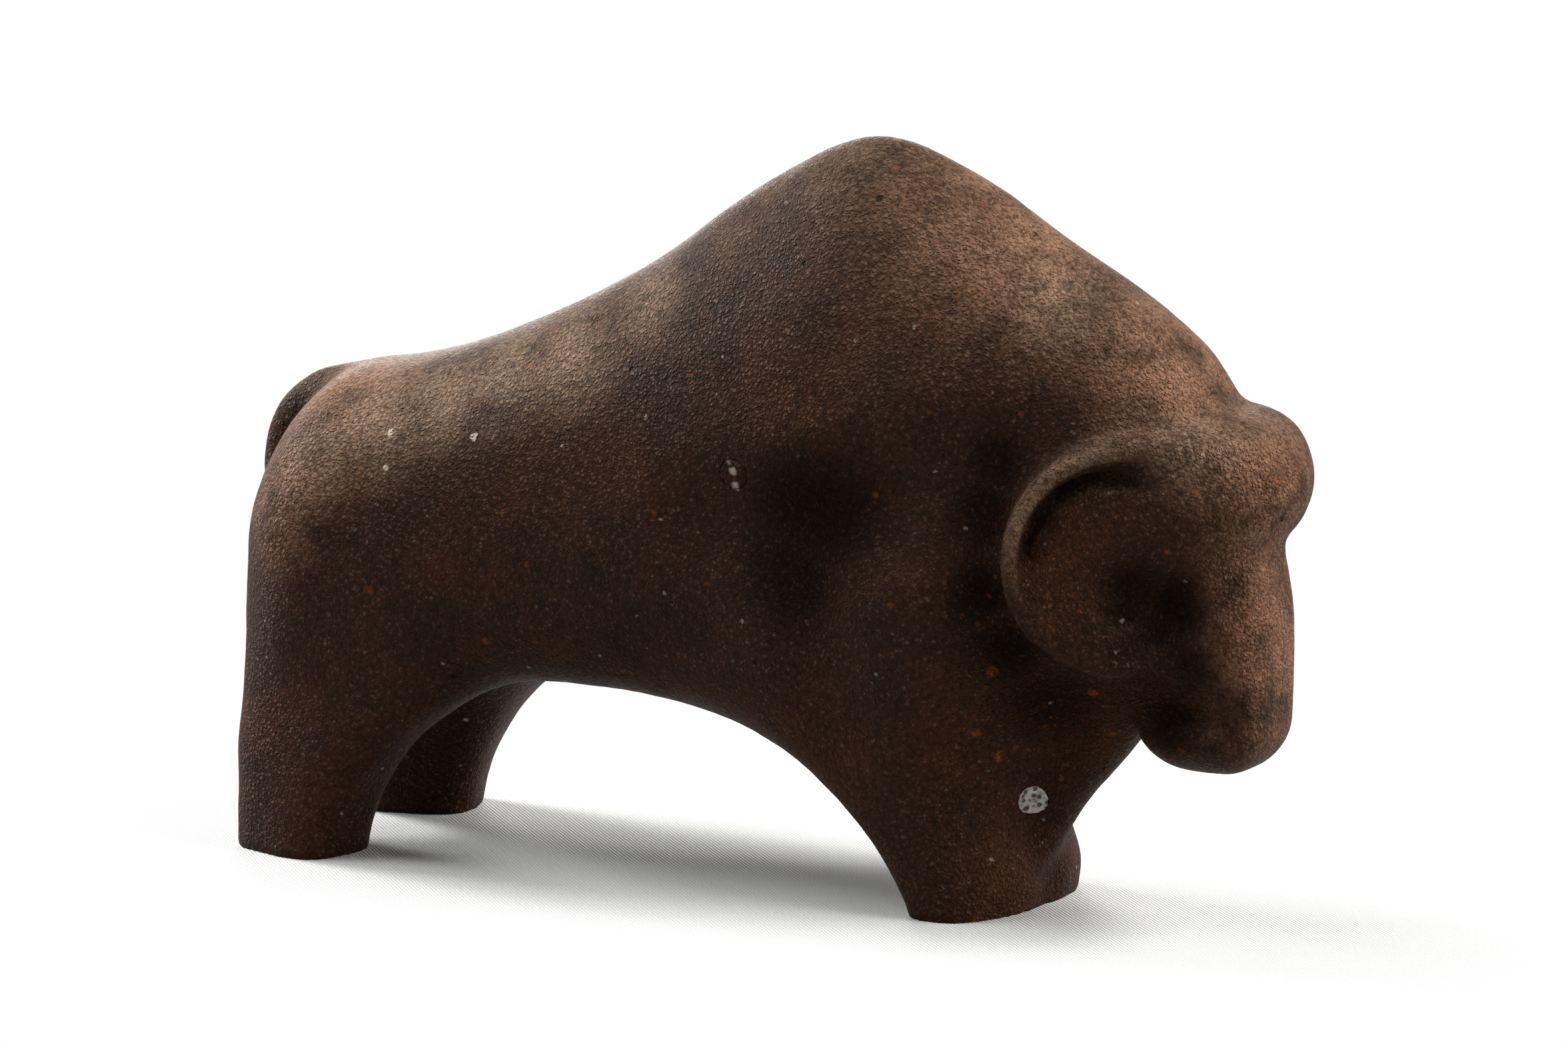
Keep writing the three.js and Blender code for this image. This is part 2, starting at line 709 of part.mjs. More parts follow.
const whole = netSolid(thin(wrap(figure, figureSpace, netStep), figure, figureFaces)).subtract(groundSolid());
const hollow = netSolid(thin(wrap(core, coreSpace, coreStep), core, coreFaces));
const plugs = [
  { name: 'chest_plug_right', at: seat(chestPlugSpot), plug: chestPlug, sides: pinSides, look: plugGrey },
  { name: 'chest_plug_left', at: seat(mirrored(chestPlugSpot)), plug: chestPlug, sides: pinSides, look: plugGrey },
  { name: 'flank_plug_right', at: seat(flankPlugSpot), plug: pinPlug, sides: pinSides, look: bronze },
  { name: 'flank_plug_left', at: seat(mirrored(flankPlugSpot)), plug: pinPlug, sides: pinSides, look: bronze },
  { name: 'rump_plug', at: seat(rumpPlugSpot), plug: pinPlug, sides: pinSides, look: bronze },
  { name: 'belly_core_plug', at: seat(bellyPlugSpot), plug: bellyPlug, sides: bellySides, look: bronze },
];

const group = new THREE.Group();
let casting = whole.subtract(hollow);
for (const { name, at, plug, sides, look } of plugs) {
  const hole = plug === bellyPlug ? { ...plug, shankDepth: bellyHoleDepth } : plug;
  casting = casting.subtract(pinSolid(at, hole, sides, fitGap));
  group.add(named(name, geometryOf(whole.intersect(pinSolid(at, plug, sides, 0))), look));
}
group.add(named('body_casting', geometryOf(casting), bronze));

// The origin lies under the middle of the figure
const middle = new THREE.Box3().setFromObject(group).getCenter(new THREE.Vector3());
group.children.forEach((mesh) => mesh.geometry.translate(-middle.x, -middle.y, 0));
export default group;
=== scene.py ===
import json
import math
import bpy
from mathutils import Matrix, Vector

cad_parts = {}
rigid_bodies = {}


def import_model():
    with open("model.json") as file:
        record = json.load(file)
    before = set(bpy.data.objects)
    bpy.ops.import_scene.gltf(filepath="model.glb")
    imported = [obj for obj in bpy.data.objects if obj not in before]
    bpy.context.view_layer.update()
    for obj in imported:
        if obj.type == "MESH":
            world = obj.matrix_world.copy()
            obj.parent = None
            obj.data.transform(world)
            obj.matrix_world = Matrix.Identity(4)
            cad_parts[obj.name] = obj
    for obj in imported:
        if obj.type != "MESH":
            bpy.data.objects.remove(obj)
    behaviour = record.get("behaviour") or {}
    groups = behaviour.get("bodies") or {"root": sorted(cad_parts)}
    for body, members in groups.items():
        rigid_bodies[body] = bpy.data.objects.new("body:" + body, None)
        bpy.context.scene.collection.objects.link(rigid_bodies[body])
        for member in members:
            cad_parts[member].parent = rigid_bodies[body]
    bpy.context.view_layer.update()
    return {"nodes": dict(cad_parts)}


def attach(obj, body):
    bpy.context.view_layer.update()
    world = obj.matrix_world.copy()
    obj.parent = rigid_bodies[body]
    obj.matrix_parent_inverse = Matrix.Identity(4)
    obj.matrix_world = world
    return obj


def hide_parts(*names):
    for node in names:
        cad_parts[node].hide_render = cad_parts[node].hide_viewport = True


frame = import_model()
print("frame loaded")

mm = 0.001  # lengths below are in millimetres, angles in degrees
sharpEdge = math.radians(50)  # an edge sharper than this stays hard
weldWithin = 0.002  # corners of the CAD's loose triangles closer than this are one


# Camera: where the photograph was taken from
camera = {
    "target": (-1.94, 11.47, 62.0),
    "turn": 28.0,  # round from the animal's right side, towards its head
    "rise": 9.8,  # above level
    "distance": 1150.0,
    "lens": 146.62,
    "sensor": 36.0,
    "nearest": 50.0,
    "furthest": 30000.0,
}


def placeCamera():
    turn, rise = math.radians(camera["turn"]), math.radians(camera["rise"])
    away = Vector((math.sin(turn) * math.cos(rise), -math.cos(turn) * math.cos(rise), math.sin(rise)))
    bpy.ops.object.camera_add(location=(Vector(camera["target"]) + camera["distance"] * away) * mm)
    eye = bpy.context.object
    eye.name = "photo_camera"
    eye.rotation_euler = away.to_track_quat("Z", "Y").to_euler()
    eye.data.sensor_width = camera["sensor"]
    eye.data.lens = camera["lens"]
    eye.data.clip_start = camera["nearest"] * mm
    eye.data.clip_end = camera["furthest"] * mm
    bpy.context.scene.camera = eye


placeCamera()
print("camera placed")


# Small tools
def clearSelection():
    if bpy.context.mode != "OBJECT":
        bpy.ops.object.mode_set(mode="OBJECT")
    bpy.ops.object.select_all(action="DESELECT")


def pick(thing):
    clearSelection()
    thing.select_set(True)
    bpy.context.view_layer.objects.active = thing


def joinAll(things):
    pick(things[0])
    for thing in things[1:]:
        thing.select_set(True)
    bpy.ops.object.join()
    return bpy.context.object


def applyModifier(thing, kind, **settings):
    pick(thing)
    step = thing.modifiers.new(kind.lower(), kind)
    for key, value in settings.items():
        setattr(step, key, value)
    bpy.ops.object.modifier_apply(modifier=step.name)


# One merged mesh from a copy of the CAD's nodes, which stay as they are
def copyOfNodes(nodeNames, pieceName):
    clearSelection()
    for nodeName in nodeNames:
        frame["nodes"][nodeName].select_set(True)
    bpy.context.view_layer.objects.active = frame["nodes"][nodeNames[0]]
    bpy.ops.object.duplicate()
    if len(nodeNames) > 1:
        bpy.ops.object.join()
    piece = bpy.context.object
    piece.name = pieceName
    piece.data.name = pieceName
    bpy.ops.object.parent_clear(type="CLEAR_KEEP_TRANSFORM")
    for key in list(piece.keys()):
        if key.startswith("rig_"):  # the frame's own marks belong to the node alone
            del piece[key]
    piece.data.materials.clear()
    bpy.ops.object.mode_set(mode="EDIT")
    bpy.ops.mesh.select_all(action="SELECT")
    bpy.ops.mesh.remove_doubles(threshold=weldWithin * mm)
    bpy.ops.object.mode_set(mode="OBJECT")
    return piece


def keepLargestIsland(piece):
    pick(piece)
    bpy.ops.object.mode_set(mode="EDIT")
    bpy.ops.mesh.select_all(action="SELECT")
    bpy.ops.mesh.separate(type="LOOSE")
    bpy.ops.object.mode_set(mode="OBJECT")
    islands = sorted(bpy.context.selected_objects, key=lambda island: len(island.data.vertices))
    kept = islands.pop()
    for island in islands:
        bpy.data.objects.remove(island)
    return kept


def subtract(piece, cutter):
    applyModifier(piece, "BOOLEAN", operation="DIFFERENCE", object=cutter, solver="EXACT")
    bpy.data.objects.remove(cutter)


def voxelRemesh(piece, voxel):
    applyModifier(piece, "REMESH", mode="VOXEL", voxel_size=voxel * mm, adaptivity=0.0)


def roughen(piece, name, layer):
    cloud = bpy.data.textures.new(name, "CLOUDS")
    cloud.noise_scale = layer["size"] * mm
    cloud.noise_depth = 1
    cloud.noise_basis = "ORIGINAL_PERLIN"
    applyModifier(piece, "DISPLACE", texture=cloud, texture_coords="GLOBAL",
                  strength=layer["height"] * mm, mid_level=0.5)


def dress(piece, material):
    pick(piece)
    bpy.ops.object.shade_smooth_by_angle(angle=sharpEdge)
    piece.data.materials.clear()
    piece.data.materials.append(material)


# Shader writing: Wire carries a socket through plain arithmetic, Sheet adds the nodes
class Wire:
    def __init__(self, sheet, socket):
        self.sheet = sheet
        self.socket = socket

    def calc(self, operation, other):
        return self.sheet.add("ShaderNodeMath", {"operation": operation}, {0: self, 1: other})

    def __add__(self, other):
        return self.calc("ADD", other)

    def __sub__(self, other):
        return self.calc("SUBTRACT", other)

    def __rsub__(self, other):
        return self.sheet.add("ShaderNodeMath", {"operation": "SUBTRACT"}, {0: other, 1: self})

    def __mul__(self, other):
        return self.calc("MULTIPLY", other)

    def __pow__(self, power):
        return self.calc("POWER", power)

    def orMore(self, other):
        return self.calc("MAXIMUM", other)

    def orLess(self, other):
        return self.calc("MINIMUM", other)

    __radd__ = __add__
    __rmul__ = __mul__


class Sheet:
    def __init__(self, tree):
        self.tree = tree
        self.tree.nodes.clear()

    def add(self, kind, settings, sockets, output=0):
        node = self.tree.nodes.new(kind)
        for key, value in settings.items():
            setattr(node, key, value)
        for key, value in sockets.items():
            if isinstance(value, Wire):
                self.tree.links.new(value.socket, node.inputs[key])
            else:
                node.inputs[key].default_value = value
        return Wire(self, node.outputs[output] if node.outputs else None)

    def place(self):
        return self.add("ShaderNodeTexCoord", {}, {}, "Object")

    def plus(self, place, other):
        return self.add("ShaderNodeVectorMath", {"operation": "ADD"}, {0: place, 1: other})

    def shifted(self, place, offset):
        return self.plus(place, tuple(part * mm for part in offset))

    def distance(self, place, point):
        sockets = {0: place, 1: tuple(part * mm for part in point)}
        return self.add("ShaderNodeVectorMath", {"operation": "DISTANCE"}, sockets, "Value")

    def axis(self, vector, name):
        return self.add("ShaderNodeSeparateXYZ", {}, {0: vector}, name)

    def noise(self, place, size, detail, roughness, output=0):
        sockets = {"Vector": place, "Scale": 1 / (size * mm), "Detail": detail, "Roughness": roughness}
        return self.add("ShaderNodeTexNoise", {}, sockets, output)

    def cells(self, place, size, output=0):
        sockets = {"Vector": place, "Scale": 1 / (size * mm)}
        return self.add("ShaderNodeTexVoronoi", {"feature": "F1"}, sockets, output)

    # one number for each cell, to choose some of them by
    def cellDraw(self, place, size, channel):
        return self.add("ShaderNodeSeparateColor", {}, {0: self.cells(place, size, "Color")}, channel)

    def ramp(self, value, low, high):
        sockets = {"Value": value, "From Min": low, "From Max": high}
        return self.add("ShaderNodeMapRange", {"interpolation_type": "SMOOTHSTEP"}, sockets)

    def mix(self, amount, under, over):
        return self.add("ShaderNodeMix", {"data_type": "RGBA"}, {0: amount, 6: under, 7: over}, 2)

    def bump(self, height, strength, distance):
        sockets = {"Strength": strength, "Distance": distance * mm, "Height": height}
        return self.add("ShaderNodeBump", {}, sockets)

    # 1 for the rays that see the backdrop, 0 for those that only carry its light
    def seen(self):
        seen = self.add("ShaderNodeLightPath", {}, {}, "Is Camera Ray")
        for kind in ("Is Glossy Ray", "Is Transmission Ray"):
            seen = seen.orMore(self.add("ShaderNodeLightPath", {}, {}, kind))
        return seen

    def surface(self, shader):
        self.add("ShaderNodeOutputMaterial", {}, {0: shader})


def newMaterial(name):
    material = bpy.data.materials.new(name)
    material.use_nodes = True
    return material, Sheet(material.node_tree)


# A colour as a screen shows it, 0 to 255, turned into the shader's linear colour
def linearPart(part):
    return part / 12.92 if part <= 0.04045 else ((part + 0.055) / 1.055) ** 2.4


def paint(red, green, blue):
    return (*(linearPart(part / 255) for part in (red, green, blue)), 1.0)


# Patina over the cast metal, with painted shade and painted highlights laid into it. A mask has edges, where
# it starts and where it is full, and a share, which is how far its colour covers what lies under it. Spots
# are x, y, z and radius, and reach is where they are full and where they end, in radii. A shift only moves a
# pattern, so that no two lie alike.
patina = {
    "deep": paint(41, 25, 14),
    "brown": paint(72, 44, 26),
    "warm": paint(90, 51, 26),
    "slate": paint(48, 34, 27),
    # pale dust, also a painted highlight on tops, bead crests and the horn's rim
    "dustAndHighlight": paint(168, 138, 114),
    # paler rubbed rust, partly a painted highlight
    "blushAndHighlight": paint(166, 120, 94),
    "rust": paint(158, 88, 36),
    "pale": paint(196, 184, 166),
    # near black for the pits, also the painted shade in the gaps and hollows
    "pitAndShade": paint(9, 6, 5),
    "ior": 1.5,
    "specular": 0.08,
    "metallic": 0.15,
    "roughness": {"base": 0.5, "fine": 0.3, "betweenBeads": 0.12, "hollows": 0.35},
    "relief": {"beads": 0.62, "fine": 0.3, "grit": 0.2, "pits": 1.2, "depth": 0.95},
    # noises: size, detail and roughness
    "broad": (38, 3.0, 0.55),
    "middle": (9, 3.0, 0.6),
    "fine": (1.4, 3.0, 0.65),
    "grit": (0.5, 2.0, 0.6),
    "sway": {"noise": (1.2, 2.0, 0.6), "reach": 1.1},
    # sand grains: round beads of two sizes, with painted shade in the gaps between them
    "beads": {
        "size": 0.95, "smallSize": 0.57, "smallShift": (200, 300, 100), "smallHeight": 0.7,
        "edges": (0.5, 0.08),
    },
    "shadedGaps": {"edges": (0.46, 0.72), "gritEdges": (0.3, 0.52), "share": 0.62},
    # broad colour
    "mottle": {"broad": 0.4, "middle": 0.6, "edges": (0.24, 0.74)},
    "warmPatches": {"noise": (24, 3.0, 0.6), "shift": (400, 100, 200), "edges": (0.47, 0.66), "share": 0.32},
    "slatePatches": {"noise": (19, 3.0, 0.6), "shift": (900, 500, 300), "edges": (0.5, 0.66), "share": 0.16},
    # places painted paler: rubbed rust, partly a painted highlight on faces that catch the light
    "rubbedAndLit": {
        "edges": (0.25, 0.65), "share": 0.68, "reach": (0.2, 1.4),
        "spots": [
            (104, -6, 78, 17), (106, 0, 52, 22), (84, -4, 98, 18),
            (52, -4, 118, 20), (-79, -14, 86, 15), (-85, -28, 66, 13),
        ],
    },
    # places painted pale on the near side, mostly along the back and rump: partly dust, partly painted sheen
    "dustySheen": {
        "edges": (0.24, 0.66), "share": 0.68, "reach": (0.1, 1.5),
        "spots": [
            (-78, -26, 73, 10), (-66, -22, 80, 11), (-55, -19, 85, 11), (-42, -18, 90, 11),
            (-29, -18, 94, 11), (-14, -15, 104, 8), (92, -17, 86, 8), (62, -12, 108, 8),
        ],
    },
    # pale on the bead crests: partly dust, partly painted glints
    "dustAndGlintOnBeads": {"edges": (0.42, 0.74), "share": 0.46},
    # paler on what faces up: partly settled dust, partly painted sheen from above
    "settledDustAndSheen": {"upwardEdges": (0.2, 0.95), "edges": (0.3, 0.62), "share": 0.3},
    # painted highlight on the horn's rim: a ring round the middle of the cheek, lit along one stretch. Off
    # the ring by width the mask starts, and off it by full it is full
    "rimHighlight": {
        "middle": (80.3, -19.9, 66.0), "radius": 19.8, "width": 1.7, "full": 0.548,
        "edges": (0.2, 0.6), "share": 0.5, "reach": (0.5, 1.6), "spots": [(67.4, -25.1, 79.9, 14)],
    },
    # painted shade in the hollows, partly dark patina, alike on both sides
    "hollows": {
        "share": 0.68, "reach": (0.2, 1.5),
        "spots": [
            (64.5, -25.5, 69, 3.5), (66.6, -25, 73.6, 3.5), (69.5, -23.1, 79.3, 3.2), (74, -21.5, 82.2, 2.4),
            (58, -22.9, 82, 6), (55.5, -23.4, 74, 7), (55.4, -22.4, 60, 6), (59.3, -20, 50, 7),
            (62, -12, 40, 9), (80.2, -16.4, 62, 6), (86, -12.5, 59, 6), (84, -14, 52.5, 6),
            (81, -16.5, 52, 5), (79, -17.5, 57, 4), (89.5, -11.8, 48, 5), (84.6, -9, 37.5, 5),
            (25.5, -27, 72, 13), (20.5, -27.4, 60, 10),
        ],
    },
    # scattered rust and pale specks: a draw chooses the cells that hold one
    "specks": {"size": 5.2, "share": 0.45},
    "rustSpecks": {"edges": (0.16, 0.04), "drawEdges": (0.8, 0.82)},
    "paleSpecks": {"edges": (0.1, 0.05), "drawEdges": (0.3, 0.28)},
    # places with many small ochre specks, alike on both sides
    "speckled": {
        "size": 1.9, "edges": (0.3, 0.12), "drawEdges": (0.62, 0.66), "share": 0.42, "reach": (0.3, 1.3),
        "spots": [
            (56, -22, 62, 12), (56, -14, 38, 13), (-62, 12, 20, 12),
            (71, -24, 60, 9), (90, -8, 34, 7), (54, -20, 30, 10),
        ],
    },
    # small pits, scattered, and one that shows on the hump
    "pits": {
        "size": 11.0, "shift": (310, 170, 230), "edges": (0.06, 0.03), "share": 0.85,
        "reach": (0.6, 1.15), "spots": [(29.8, -13.1, 125.1, 0.7)],
    },
    # rust spots and bare flecks that show in the photograph
    "rustSpots": {
        "edges": (0.3, 0.62), "share": 0.8, "reach": (0.5, 1.2),
        "spots": [
            (102.8, -7.4, 80.7, 1.0), (104.2, 2.4, 79.1, 0.9), (104.0, 1.9, 77.0, 0.7),
            (56.2, -21.4, 45.5, 1.1), (54.8, -15.6, 29.6, 1.2), (88.2, -8.6, 34.5, 1.5),
            (-63.5, -30.7, 51.2, 0.8), (-42.3, -26.2, 43.0, 0.8), (52.5, -20.1, 34.4, 1.0),
            (70.1, -10.6, 41.4, 0.9),
        ],
    },
    "bareFlecks": {
        "reach": (0.6, 1.15),
        "spots": [
            (8.1, -27.4, 80.8, 1.0), (8.8, -28.2, 79.6, 0.9), (9.5, -28.8, 78.2, 0.8),
            (9.8, -28.9, 75.4, 1.0), (-68.8, 11.3, 19.4, 0.6), (55.3, -8.3, 24.8, 1.3),
            (-63.2, -23.8, 78.9, 0.8), (-45, -25.2, 79.6, 0.8), (-62.2, -27.1, 72.9, 0.7),
        ],
    },
}


def spotMask(sheet, place, group):
    full, end = group["reach"]
    mask = None
    for x, y, z, radius in group["spots"]:
        away = sheet.distance(place, (x, y, z))
        spot = sheet.ramp(away, radius * end * mm, radius * full * mm)
        mask = spot if mask is None else mask.orMore(spot)
    return mask


# A place that wanders a little, so that spots come out ragged
def raggedPlace(sheet, place):
    reach = patina["sway"]["reach"]
    sway = sheet.noise(place, *patina["sway"]["noise"], "Color")
    sockets = {0: sway, 1: (reach * mm,) * 3, 2: place}
    swayed = sheet.add("ShaderNodeVectorMath", {"operation": "MULTIPLY_ADD"}, sockets)
    return sheet.shifted(swayed, (-reach / 2,) * 3)


# The same place on the animal's right side, so that a pattern is alike on both sides
def oneSidedPlace(sheet, place):
    across = (sheet.axis(place, "Y") * -2).orLess(0)
    return sheet.plus(place, sheet.add("ShaderNodeCombineXYZ", {}, {"Y": across}))


def skinPatterns(sheet):
    beads, shadedGaps = patina["beads"], patina["shadedGaps"]
    place = sheet.place()
    ragged = raggedPlace(sheet, place)
    grit = sheet.noise(place, *patina["grit"])
    coarse = sheet.cells(ragged, beads["size"])
    small = sheet.cells(sheet.shifted(ragged, beads["smallShift"]), beads["smallSize"])
    smallBeads = sheet.ramp(small, *beads["edges"]) * beads["smallHeight"]
    return {
        "place": place,
        "ragged": ragged,
        "oneSided": oneSidedPlace(sheet, place),
        "middle": sheet.noise(place, *patina["middle"]),
        "fine": sheet.noise(place, *patina["fine"]),
        "grit": grit,
        "beads": sheet.ramp(coarse, *beads["edges"]).orMore(smallBeads),
        "shadedGaps": sheet.ramp(coarse, *shadedGaps["edges"]) * sheet.ramp(grit, *shadedGaps["gritEdges"]),
    }


def mottledBrown(sheet, skin):
    mottle = patina["mottle"]
    blend = sheet.noise(skin["place"], *patina["broad"]) * mottle["broad"] + skin["middle"] * mottle["middle"]
    colour = sheet.mix(sheet.ramp(blend, *mottle["edges"]), patina["deep"], patina["brown"])
    for patches, paintName in (("warmPatches", "warm"), ("slatePatches", "slate")):
        layer = patina[patches]
        cloud = sheet.noise(sheet.shifted(skin["place"], layer["shift"]), *layer["noise"])
        colour = sheet.mix(sheet.ramp(cloud, *layer["edges"]) * layer["share"], colour, patina[paintName])
    return colour


def rubDustAndSheen(sheet, skin, colour):
    rubbedAndLit, dustySheen, settledAndSheen = patina["rubbedAndLit"], patina["dustySheen"], patina["settledDustAndSheen"]
    # paler rubbed rust, partly a painted highlight
    mask = spotMask(sheet, skin["place"], rubbedAndLit) * sheet.ramp(skin["middle"], *rubbedAndLit["edges"])
    colour = sheet.mix(mask * rubbedAndLit["share"], colour, patina["blushAndHighlight"])
    drift = skin["middle"] * 0.5 + skin["fine"] * 0.5
    # pale dust and painted sheen on the near side
    mask = spotMask(sheet, skin["place"], dustySheen) * sheet.ramp(drift, *dustySheen["edges"])
    colour = sheet.mix(mask * dustySheen["share"], colour, patina["dustAndHighlight"])
    # pale on the bead crests: partly dust, partly painted glints
    mask = skin["beads"] * sheet.ramp(skin["fine"], *patina["dustAndGlintOnBeads"]["edges"])
    colour = sheet.mix(mask * patina["dustAndGlintOnBeads"]["share"], colour, patina["dustAndHighlight"])
    # paler on what faces up: partly settled dust, partly painted sheen from above
    upward = sheet.axis(sheet.add("ShaderNodeNewGeometry", {}, {}, "Normal"), "Z")
    mask = sheet.ramp(upward, *settledAndSheen["upwardEdges"]) * sheet.ramp(drift, *settledAndSheen["edges"])
    return sheet.mix(mask * settledAndSheen["share"], colour, patina["dustAndHighlight"])


# Painted shade in the gaps and the hollows, and a painted highlight along the horn's rim
def shadeAndRimHighlight(sheet, skin, hollows, colour):
    rim = patina["rimHighlight"]
    offRim = ((sheet.distance(skin["oneSided"], rim["middle"]) - rim["radius"] * mm) * (1 / mm)) ** 2
    rimLit = sheet.ramp(offRim, rim["width"] ** 2, rim["full"] ** 2) * spotMask(sheet, skin["oneSided"], rim)
    colour = sheet.mix(skin["shadedGaps"] * patina["shadedGaps"]["share"], colour, patina["pitAndShade"])
    colour = sheet.mix(hollows * (1 - rimLit) * patina["hollows"]["share"], colour, patina["pitAndShade"])
    return sheet.mix(rimLit * sheet.ramp(skin["fine"], *rim["edges"]) * rim["share"], colour, patina["dustAndHighlight"])


def scatteredSpecks(sheet, skin, colour):
    size, share = patina["specks"]["size"], patina["specks"]["share"]
    specks = sheet.cells(skin["ragged"], size)
    draw = sheet.cellDraw(skin["ragged"], size, "Red")
    for kind, paintName in (("rustSpecks", "rust"), ("paleSpecks", "pale")):
        mask = sheet.ramp(specks, *patina[kind]["edges"]) * sheet.ramp(draw, *patina[kind]["drawEdges"])
        colour = sheet.mix(mask * share, colour, patina[paintName])
    speckled = patina["speckled"]
    draw = sheet.cellDraw(skin["ragged"], speckled["size"], "Green")
    mask = spotMask(sheet, skin["oneSided"], speckled) * sheet.ramp(draw, *speckled["drawEdges"])
    mask = mask * sheet.ramp(sheet.cells(skin["ragged"], speckled["size"]), *speckled["edges"])
    return sheet.mix(mask * speckled["share"], colour, patina["rust"])


def smallPits(sheet, skin):
    pits = patina["pits"]
    scattered = sheet.cells(sheet.shifted(skin["ragged"], pits["shift"]), pits["size"])
    return sheet.ramp(scattered, *pits["edges"]).orMore(spotMask(sheet, skin["ragged"], pits))


def seenSpots(sheet, skin, colour):
    rust = patina["rustSpots"]
    mask = spotMask(sheet, skin["ragged"], rust) * sheet.ramp(skin["fine"], *rust["edges"])
    colour = sheet.mix(mask * rust["share"], colour, patina["rust"])
    return sheet.mix(spotMask(sheet, skin["ragged"], patina["bareFlecks"]), colour, patina["pale"])


def patinaFinish(name):
    material, sheet = newMaterial(name)
    skin = skinPatterns(sheet)
    hollows = spotMask(sheet, skin["oneSided"], patina["hollows"])
    pits = smallPits(sheet, skin)
    colour = mottledBrown(sheet, skin)
    colour = rubDustAndSheen(sheet, skin, colour)
    colour = shadeAndRimHighlight(sheet, skin, hollows, colour)
    colour = scatteredSpecks(sheet, skin, colour)
    colour = sheet.mix(pits * patina["pits"]["share"], colour, patina["pitAndShade"])
    colour = seenSpots(sheet, skin, colour)
    rough, relief = patina["roughness"], patina["relief"]
    roughness = (skin["fine"] - 0.5) * rough["fine"] + (1 - skin["beads"]) * rough["betweenBeads"]
    roughness = roughness + hollows * rough["hollows"] + rough["base"]
    height = skin["beads"] * relief["beads"] + skin["fine"] * relief["fine"] + skin["grit"] * relief["grit"]
    sheet.surface(sheet.add("ShaderNodeBsdfPrincipled", {}, {
        "Metallic": patina["metallic"],
        "IOR": patina["ior"],
        "Specular IOR Level": patina["specular"],
        "Base Color": colour,
        "Roughness": roughness,
        "Normal": sheet.bump(height - pits * relief["pits"], 1.0, relief["depth"]),
    }))
    return material


patinaMaterial = patinaFinish("brown_patina")
print("patina written")


# Pale pin ends in the chest
pinEnd = {
    "metal": paint(146, 140, 131),
    "light": paint(196, 190, 181),
    "stain": paint(36, 27, 22),
    "metallic": 0.3,
    "roughness": 0.55,
    "mottle": {"noise": (1.3, 3.0, 0.65), "edges": (0.36, 0.62), "relief": 0.5},
    "pocks": {"size": 1.15, "edges": (0.42, 0.24), "share": 0.9},
    "stains": {"noise": (2.6, 2.0, 0.6), "edges": (0.54, 0.62), "share": 0.8},
    "bump": {"strength": 0.9, "distance": 0.3},
}


def pinEndFinish(name):
    material, sheet = newMaterial(name)
    place = sheet.place()
    mottle = sheet.noise(place, *pinEnd["mottle"]["noise"])
    pocks = sheet.ramp(sheet.cells(place, pinEnd["pocks"]["size"]), *pinEnd["pocks"]["edges"])
    stains = sheet.ramp(sheet.noise(place, *pinEnd["stains"]["noise"]), *pinEnd["stains"]["edges"])
    colour = sheet.mix(sheet.ramp(mottle, *pinEnd["mottle"]["edges"]), pinEnd["metal"], pinEnd["light"])
    colour = sheet.mix(pocks * pinEnd["pocks"]["share"], colour, pinEnd["stain"])
    colour = sheet.mix(stains * pinEnd["stains"]["share"], colour, pinEnd["stain"])
    sheet.surface(sheet.add("ShaderNodeBsdfPrincipled", {}, {
        "Metallic": pinEnd["metallic"],
        "Roughness": pinEnd["roughness"],
        "Base Color": colour,
        "Normal": sheet.bump(mottle * pinEnd["mottle"]["relief"] - pocks, **pinEnd["bump"]),
    }))
    return material


pinEndMaterial = pinEndFinish("pale_pin_end")
print("pin end written")


# Curled horn round each cheek: the raised rim and the groove inside it, as
# angle from straight ahead, radius of the curl, height above the face, thickness
curledHorn = {
    "centre": (80.27, 19.9, 66.0),
    "turn": 22.0,  # of the cheek's face towards the nose
    "steps": 48,
    "roundness": 6,
    "rim": [
        (76, 19.6, -1.6, 4.2), (88, 19.4, -0.5, 3.0), (110, 19.4, 0.3, 2.4), (135, 19.5, 0.5, 1.9),
        (160, 19.6, 0.4, 1.7), (190, 19.7, 0.0, 1.4), (220, 19.8, -0.6, 1.2),
    ],
    "groove": [
        (84, 14.6, 3.2, 2.4), (95, 15.4, 1.4, 2.6), (108, 16.0, 0.6, 2.5), (125, 16.7, 0.1, 2.2),
        (140, 17.2, 0.0, 1.9), (158, 17.5, 0.1, 1.6), (176, 17.8, 0.3, 1.3), (196, 18.1, 0.7, 1.0),
    ],
}


# Radius, height and thickness of the curl at an angle, between two lines of its table
def curlAt(turns, angle):
    after = next(k for k in range(1, len(turns)) if angle <= turns[k][0] + 1e-6)
    low, high = turns[after - 1], turns[after]
    share = (angle - low[0]) / (high[0] - low[0])
    return [a + (b - a) * share for a, b in zip(low[1:], high[1:])]


